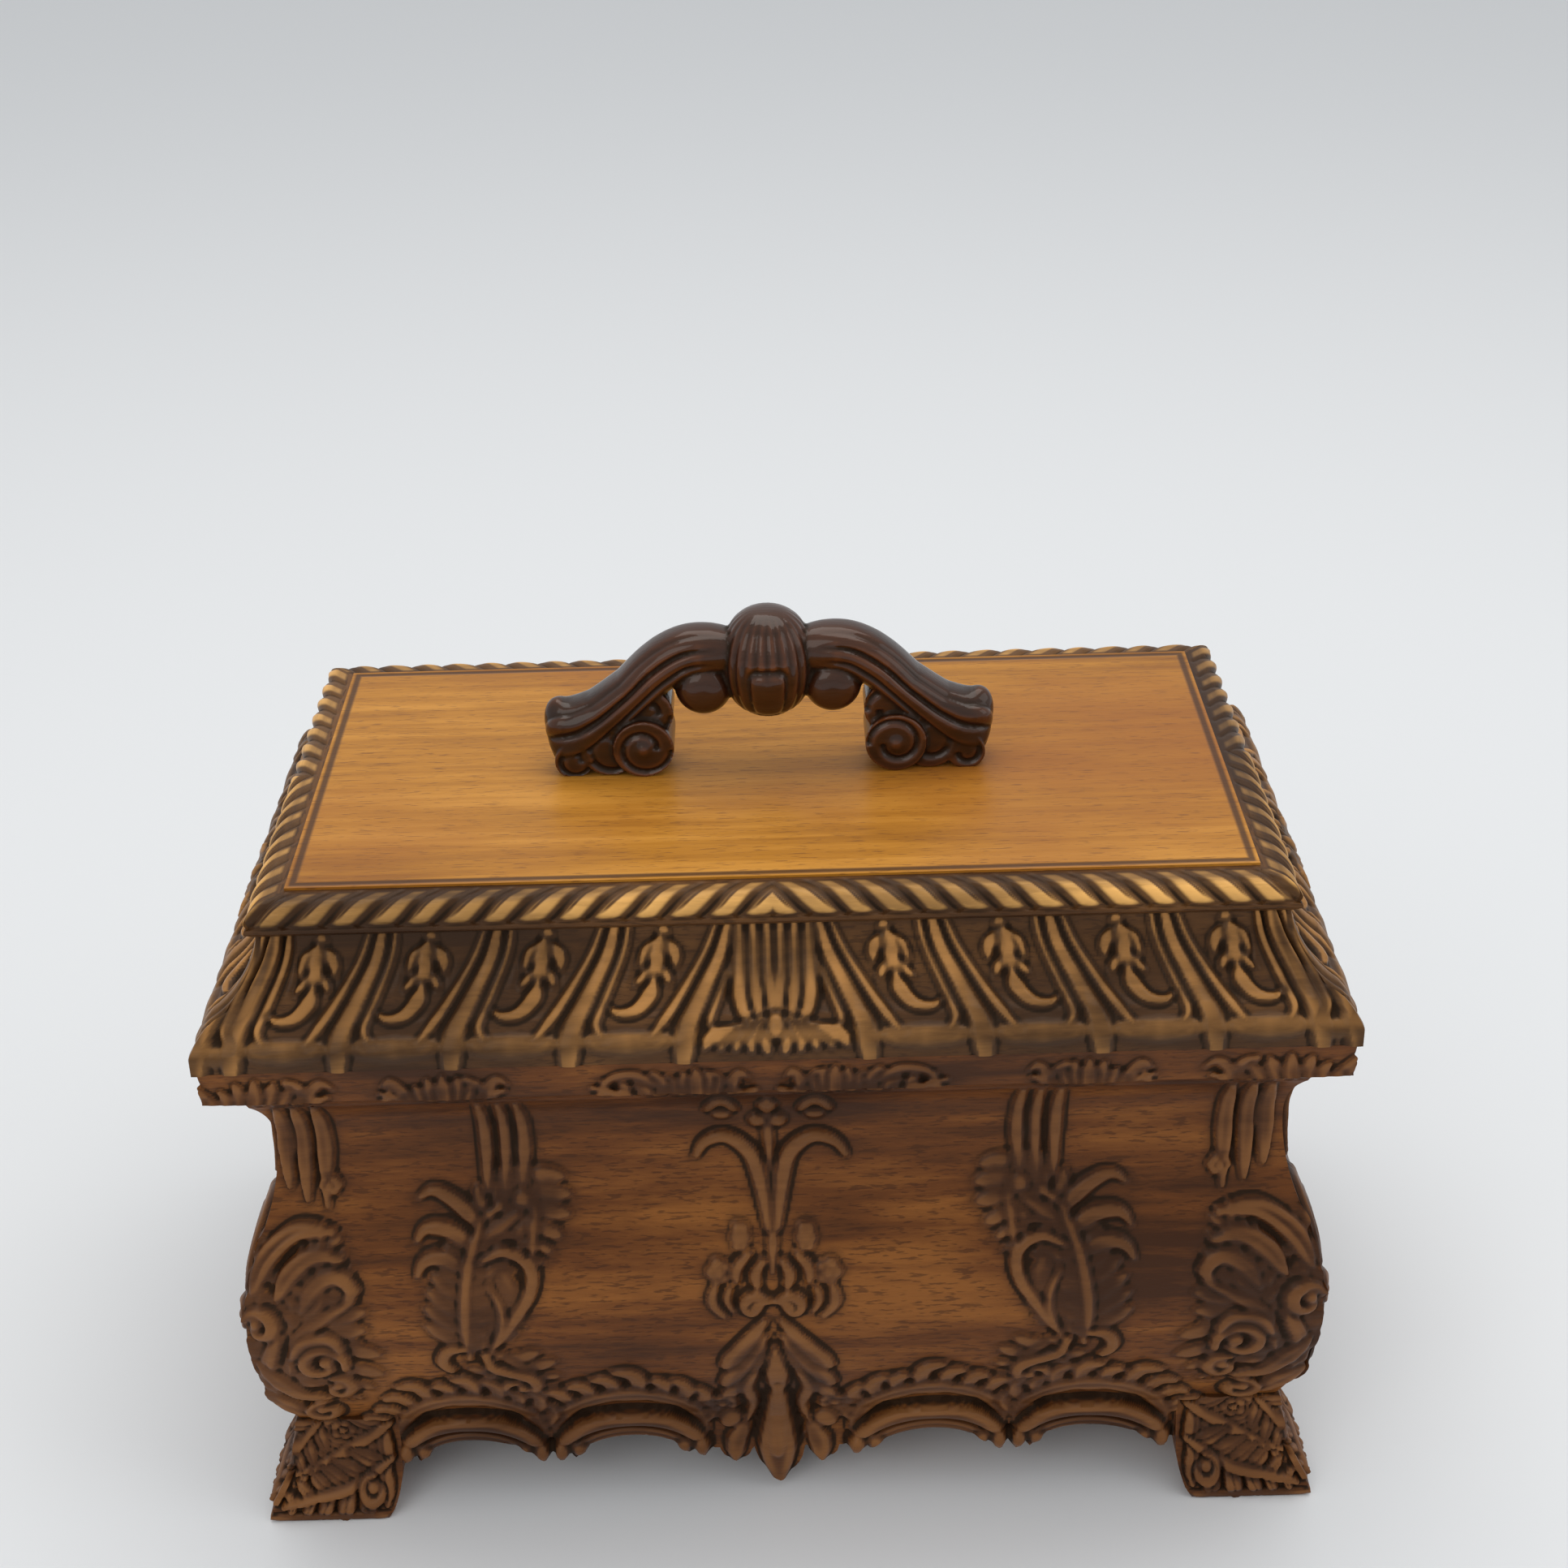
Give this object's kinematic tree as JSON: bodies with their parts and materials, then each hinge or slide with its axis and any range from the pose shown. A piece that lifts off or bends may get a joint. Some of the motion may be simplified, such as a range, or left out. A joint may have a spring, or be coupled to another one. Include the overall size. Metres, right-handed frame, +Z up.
{
  "type": "carved wooden jewelry box",
  "caption": "Carved hardwood jewelry box with swelling walls, scalloped skirt and flared feet; its cove-sided, gadroon-edged lid is hinged at the back and lifts by a carved handle.",
  "frame": {"origin": "on the floor under the middle of the box", "axes": "+Z up, the front faces -Y, +X to the right seen from the front"},
  "size_m": [0.3, 0.175, 0.2438],
  "materials": {
    "body_wood": "reddish brown stain, satin varnish, darker in the carving",
    "lid_wood": "brown stain, satin varnish, ochre where the crests have worn",
    "top_wood": "honey amber, satin varnish",
    "handle_wood": "dark red brown, glossy varnish",
    "brass": "aged satin",
    "lining": "short-pile felt"
  },
  "bodies": {
    "box": {"front_panel": "body_wood", "back_panel": "body_wood", "left_panel": "body_wood", "right_panel": "body_wood", "rim_front": "body_wood", "rim_back": "body_wood", "rim_left": "body_wood", "rim_right": "body_wood", "foot_front_left": "body_wood", "foot_front_right": "body_wood", "foot_back_left": "body_wood", "foot_back_right": "body_wood", "floor_board": "body_wood", "floor_lining": "lining", "hinge_left_body_leaf": "brass", "hinge_right_body_leaf": "brass", "hinge_left_pin": "brass", "hinge_right_pin": "brass"},
    "lid": {"lid_cove_front": "lid_wood", "lid_cove_back": "lid_wood", "lid_cove_left": "lid_wood", "lid_cove_right": "lid_wood", "gadroon_front": "lid_wood", "gadroon_back": "lid_wood", "gadroon_left": "lid_wood", "gadroon_right": "lid_wood", "top_board_front": "top_wood", "top_board_back": "top_wood", "handle": "handle_wood", "hinge_left_lid_leaf": "brass", "hinge_right_lid_leaf": "brass"}
  },
  "joints": [
    {"name": "lid_hinge", "type": "hinge", "parent": "box", "child": "lid", "pos_m": [0, 0.0845, 0.15615], "axis": [-1, 0, 0], "range_deg": [0, 100]}
  ]
}
